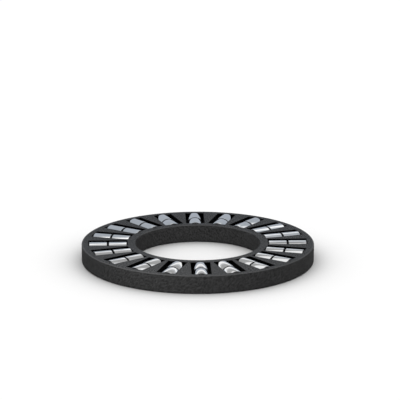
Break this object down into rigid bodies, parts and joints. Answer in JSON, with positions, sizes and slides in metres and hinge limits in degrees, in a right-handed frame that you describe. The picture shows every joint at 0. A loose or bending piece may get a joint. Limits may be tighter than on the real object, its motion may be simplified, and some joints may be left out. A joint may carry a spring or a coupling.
{
  "type": "cylindrical roller thrust bearing",
  "caption": "Flat ring-shaped cage that holds cylindrical rollers two in line in radial pockets, to carry an axial load between two flat washers around a shaft.",
  "frame": {"origin": "on the bore axis, half way up the cage", "axes": "+Z along the bore axis; +X along the pocket of roller_outer_01 and roller_inner_01; pockets are numbered anticlockwise seen from +Z"},
  "size_m": [0.084, 0.084, 0.0068],
  "materials": {
    "cage": "moulded glass-filled plastic, finely mottled",
    "roller": "fine-ground bearing steel"
  },
  "bodies": {
    "cage": {"cage": "cage"},
    "roller_outer_01": {"roller_outer_01": "roller"},
    "roller_outer_02": {"roller_outer_02": "roller"},
    "roller_outer_03": {"roller_outer_03": "roller"},
    "roller_outer_04": {"roller_outer_04": "roller"},
    "roller_outer_05": {"roller_outer_05": "roller"},
    "roller_outer_06": {"roller_outer_06": "roller"},
    "roller_outer_07": {"roller_outer_07": "roller"},
    "roller_outer_08": {"roller_outer_08": "roller"},
    "roller_outer_09": {"roller_outer_09": "roller"},
    "roller_outer_10": {"roller_outer_10": "roller"},
    "roller_outer_11": {"roller_outer_11": "roller"},
    "roller_outer_12": {"roller_outer_12": "roller"},
    "roller_outer_13": {"roller_outer_13": "roller"},
    "roller_outer_14": {"roller_outer_14": "roller"},
    "roller_outer_15": {"roller_outer_15": "roller"},
    "roller_outer_16": {"roller_outer_16": "roller"},
    "roller_outer_17": {"roller_outer_17": "roller"},
    "roller_outer_18": {"roller_outer_18": "roller"},
    "roller_outer_19": {"roller_outer_19": "roller"},
    "roller_outer_20": {"roller_outer_20": "roller"},
    "roller_inner_01": {"roller_inner_01": "roller"},
    "roller_inner_02": {"roller_inner_02": "roller"},
    "roller_inner_03": {"roller_inner_03": "roller"},
    "roller_inner_04": {"roller_inner_04": "roller"},
    "roller_inner_05": {"roller_inner_05": "roller"},
    "roller_inner_06": {"roller_inner_06": "roller"},
    "roller_inner_07": {"roller_inner_07": "roller"},
    "roller_inner_08": {"roller_inner_08": "roller"},
    "roller_inner_09": {"roller_inner_09": "roller"},
    "roller_inner_10": {"roller_inner_10": "roller"},
    "roller_inner_11": {"roller_inner_11": "roller"},
    "roller_inner_12": {"roller_inner_12": "roller"},
    "roller_inner_13": {"roller_inner_13": "roller"},
    "roller_inner_14": {"roller_inner_14": "roller"},
    "roller_inner_15": {"roller_inner_15": "roller"},
    "roller_inner_16": {"roller_inner_16": "roller"},
    "roller_inner_17": {"roller_inner_17": "roller"},
    "roller_inner_18": {"roller_inner_18": "roller"},
    "roller_inner_19": {"roller_inner_19": "roller"},
    "roller_inner_20": {"roller_inner_20": "roller"}
  },
  "joints": [
    {"name": "roller_outer_01_spin", "type": "hinge", "parent": "cage", "child": "roller_outer_01", "pos_m": [0.03605, 0, 0], "axis": [1, 0, 0], "continuous": true},
    {"name": "roller_outer_02_spin", "type": "hinge", "parent": "cage", "child": "roller_outer_02", "pos_m": [0.03429, 0.01114, 0], "axis": [0.9511, 0.309, 0], "continuous": true},
    {"name": "roller_outer_03_spin", "type": "hinge", "parent": "cage", "child": "roller_outer_03", "pos_m": [0.02917, 0.02119, 0], "axis": [0.809, 0.5878, 0], "continuous": true},
    {"name": "roller_outer_04_spin", "type": "hinge", "parent": "cage", "child": "roller_outer_04", "pos_m": [0.02119, 0.02917, 0], "axis": [0.5878, 0.809, 0], "continuous": true},
    {"name": "roller_outer_05_spin", "type": "hinge", "parent": "cage", "child": "roller_outer_05", "pos_m": [0.01114, 0.03429, 0], "axis": [0.309, 0.9511, 0], "continuous": true},
    {"name": "roller_outer_06_spin", "type": "hinge", "parent": "cage", "child": "roller_outer_06", "pos_m": [0, 0.03605, 0], "axis": [0, 1, 0], "continuous": true},
    {"name": "roller_outer_07_spin", "type": "hinge", "parent": "cage", "child": "roller_outer_07", "pos_m": [-0.01114, 0.03429, 0], "axis": [-0.309, 0.9511, 0], "continuous": true},
    {"name": "roller_outer_08_spin", "type": "hinge", "parent": "cage", "child": "roller_outer_08", "pos_m": [-0.02119, 0.02917, 0], "axis": [-0.5878, 0.809, 0], "continuous": true},
    {"name": "roller_outer_09_spin", "type": "hinge", "parent": "cage", "child": "roller_outer_09", "pos_m": [-0.02917, 0.02119, 0], "axis": [-0.809, 0.5878, 0], "continuous": true},
    {"name": "roller_outer_10_spin", "type": "hinge", "parent": "cage", "child": "roller_outer_10", "pos_m": [-0.03429, 0.01114, 0], "axis": [-0.9511, 0.309, 0], "continuous": true},
    {"name": "roller_outer_11_spin", "type": "hinge", "parent": "cage", "child": "roller_outer_11", "pos_m": [-0.03605, 0, 0], "axis": [-1, 0, 0], "continuous": true},
    {"name": "roller_outer_12_spin", "type": "hinge", "parent": "cage", "child": "roller_outer_12", "pos_m": [-0.03429, -0.01114, 0], "axis": [-0.9511, -0.309, 0], "continuous": true},
    {"name": "roller_outer_13_spin", "type": "hinge", "parent": "cage", "child": "roller_outer_13", "pos_m": [-0.02917, -0.02119, 0], "axis": [-0.809, -0.5878, 0], "continuous": true},
    {"name": "roller_outer_14_spin", "type": "hinge", "parent": "cage", "child": "roller_outer_14", "pos_m": [-0.02119, -0.02917, 0], "axis": [-0.5878, -0.809, 0], "continuous": true},
    {"name": "roller_outer_15_spin", "type": "hinge", "parent": "cage", "child": "roller_outer_15", "pos_m": [-0.01114, -0.03429, 0], "axis": [-0.309, -0.9511, 0], "continuous": true},
    {"name": "roller_outer_16_spin", "type": "hinge", "parent": "cage", "child": "roller_outer_16", "pos_m": [0, -0.03605, 0], "axis": [0, -1, 0], "continuous": true},
    {"name": "roller_outer_17_spin", "type": "hinge", "parent": "cage", "child": "roller_outer_17", "pos_m": [0.01114, -0.03429, 0], "axis": [0.309, -0.9511, 0], "continuous": true},
    {"name": "roller_outer_18_spin", "type": "hinge", "parent": "cage", "child": "roller_outer_18", "pos_m": [0.02119, -0.02917, 0], "axis": [0.5878, -0.809, 0], "continuous": true},
    {"name": "roller_outer_19_spin", "type": "hinge", "parent": "cage", "child": "roller_outer_19", "pos_m": [0.02917, -0.02119, 0], "axis": [0.809, -0.5878, 0], "continuous": true},
    {"name": "roller_outer_20_spin", "type": "hinge", "parent": "cage", "child": "roller_outer_20", "pos_m": [0.03429, -0.01114, 0], "axis": [0.9511, -0.309, 0], "continuous": true},
    {"name": "roller_inner_01_spin", "type": "hinge", "parent": "cage", "child": "roller_inner_01", "pos_m": [0.02895, 0, 0], "axis": [1, 0, 0], "continuous": true},
    {"name": "roller_inner_02_spin", "type": "hinge", "parent": "cage", "child": "roller_inner_02", "pos_m": [0.02753, 0.00895, 0], "axis": [0.9511, 0.309, 0], "continuous": true},
    {"name": "roller_inner_03_spin", "type": "hinge", "parent": "cage", "child": "roller_inner_03", "pos_m": [0.02342, 0.01702, 0], "axis": [0.809, 0.5878, 0], "continuous": true},
    {"name": "roller_inner_04_spin", "type": "hinge", "parent": "cage", "child": "roller_inner_04", "pos_m": [0.01702, 0.02342, 0], "axis": [0.5878, 0.809, 0], "continuous": true},
    {"name": "roller_inner_05_spin", "type": "hinge", "parent": "cage", "child": "roller_inner_05", "pos_m": [0.00895, 0.02753, 0], "axis": [0.309, 0.9511, 0], "continuous": true},
    {"name": "roller_inner_06_spin", "type": "hinge", "parent": "cage", "child": "roller_inner_06", "pos_m": [0, 0.02895, 0], "axis": [0, 1, 0], "continuous": true},
    {"name": "roller_inner_07_spin", "type": "hinge", "parent": "cage", "child": "roller_inner_07", "pos_m": [-0.00895, 0.02753, 0], "axis": [-0.309, 0.9511, 0], "continuous": true},
    {"name": "roller_inner_08_spin", "type": "hinge", "parent": "cage", "child": "roller_inner_08", "pos_m": [-0.01702, 0.02342, 0], "axis": [-0.5878, 0.809, 0], "continuous": true},
    {"name": "roller_inner_09_spin", "type": "hinge", "parent": "cage", "child": "roller_inner_09", "pos_m": [-0.02342, 0.01702, 0], "axis": [-0.809, 0.5878, 0], "continuous": true},
    {"name": "roller_inner_10_spin", "type": "hinge", "parent": "cage", "child": "roller_inner_10", "pos_m": [-0.02753, 0.00895, 0], "axis": [-0.9511, 0.309, 0], "continuous": true},
    {"name": "roller_inner_11_spin", "type": "hinge", "parent": "cage", "child": "roller_inner_11", "pos_m": [-0.02895, 0, 0], "axis": [-1, 0, 0], "continuous": true},
    {"name": "roller_inner_12_spin", "type": "hinge", "parent": "cage", "child": "roller_inner_12", "pos_m": [-0.02753, -0.00895, 0], "axis": [-0.9511, -0.309, 0], "continuous": true},
    {"name": "roller_inner_13_spin", "type": "hinge", "parent": "cage", "child": "roller_inner_13", "pos_m": [-0.02342, -0.01702, 0], "axis": [-0.809, -0.5878, 0], "continuous": true},
    {"name": "roller_inner_14_spin", "type": "hinge", "parent": "cage", "child": "roller_inner_14", "pos_m": [-0.01702, -0.02342, 0], "axis": [-0.5878, -0.809, 0], "continuous": true},
    {"name": "roller_inner_15_spin", "type": "hinge", "parent": "cage", "child": "roller_inner_15", "pos_m": [-0.00895, -0.02753, 0], "axis": [-0.309, -0.9511, 0], "continuous": true},
    {"name": "roller_inner_16_spin", "type": "hinge", "parent": "cage", "child": "roller_inner_16", "pos_m": [0, -0.02895, 0], "axis": [0, -1, 0], "continuous": true},
    {"name": "roller_inner_17_spin", "type": "hinge", "parent": "cage", "child": "roller_inner_17", "pos_m": [0.00895, -0.02753, 0], "axis": [0.309, -0.9511, 0], "continuous": true},
    {"name": "roller_inner_18_spin", "type": "hinge", "parent": "cage", "child": "roller_inner_18", "pos_m": [0.01702, -0.02342, 0], "axis": [0.5878, -0.809, 0], "continuous": true},
    {"name": "roller_inner_19_spin", "type": "hinge", "parent": "cage", "child": "roller_inner_19", "pos_m": [0.02342, -0.01702, 0], "axis": [0.809, -0.5878, 0], "continuous": true},
    {"name": "roller_inner_20_spin", "type": "hinge", "parent": "cage", "child": "roller_inner_20", "pos_m": [0.02753, -0.00895, 0], "axis": [0.9511, -0.309, 0], "continuous": true}
  ]
}
